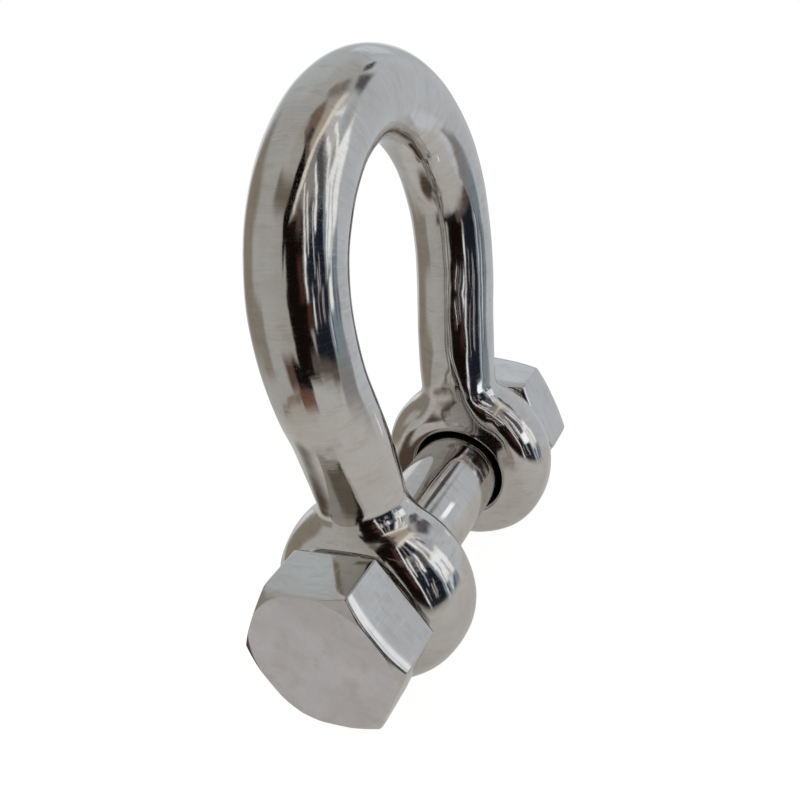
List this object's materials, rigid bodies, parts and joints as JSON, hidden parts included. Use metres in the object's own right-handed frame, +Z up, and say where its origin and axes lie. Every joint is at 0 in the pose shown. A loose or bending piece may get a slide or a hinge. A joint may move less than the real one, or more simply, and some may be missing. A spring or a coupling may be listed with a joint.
{
  "type": "bow shackle",
  "caption": "Polished steel bow shackle: a round-bar bow with an eye on each leg, closed by a hexagon bolt and nut through both eyes; joins ropes, chain or an anchor.",
  "frame": {"origin": "on the bolt's axis, midway between the two eyes", "axes": "+X along the bolt from its head to its nut, +Z up from the bolt to the crown of the bow, +Y through the bow's opening"},
  "size_m": [0.1931, 0.077, 0.2252],
  "materials": {
    "bow_steel": "hand-polished to a mirror, with faint ripples and fine polishing marks",
    "bolt_steel": "mirror-polished shank and flats, satin end face",
    "nut_steel": "polished flats, satin end faces"
  },
  "bodies": {
    "bow": {"bow": "bow_steel"},
    "bolt": {"bolt": "bolt_steel"},
    "nut": {"nut": "nut_steel"}
  },
  "joints": [
    {"name": "bolt_withdraw", "type": "slide", "parent": "bow", "child": "bolt", "axis": [-1, 0, 0], "range_m": [0, 0.2]},
    {"name": "nut_unscrew", "type": "slide", "parent": "bow", "child": "nut", "axis": [1, 0, 0], "range_m": [0, 0.05]}
  ]
}
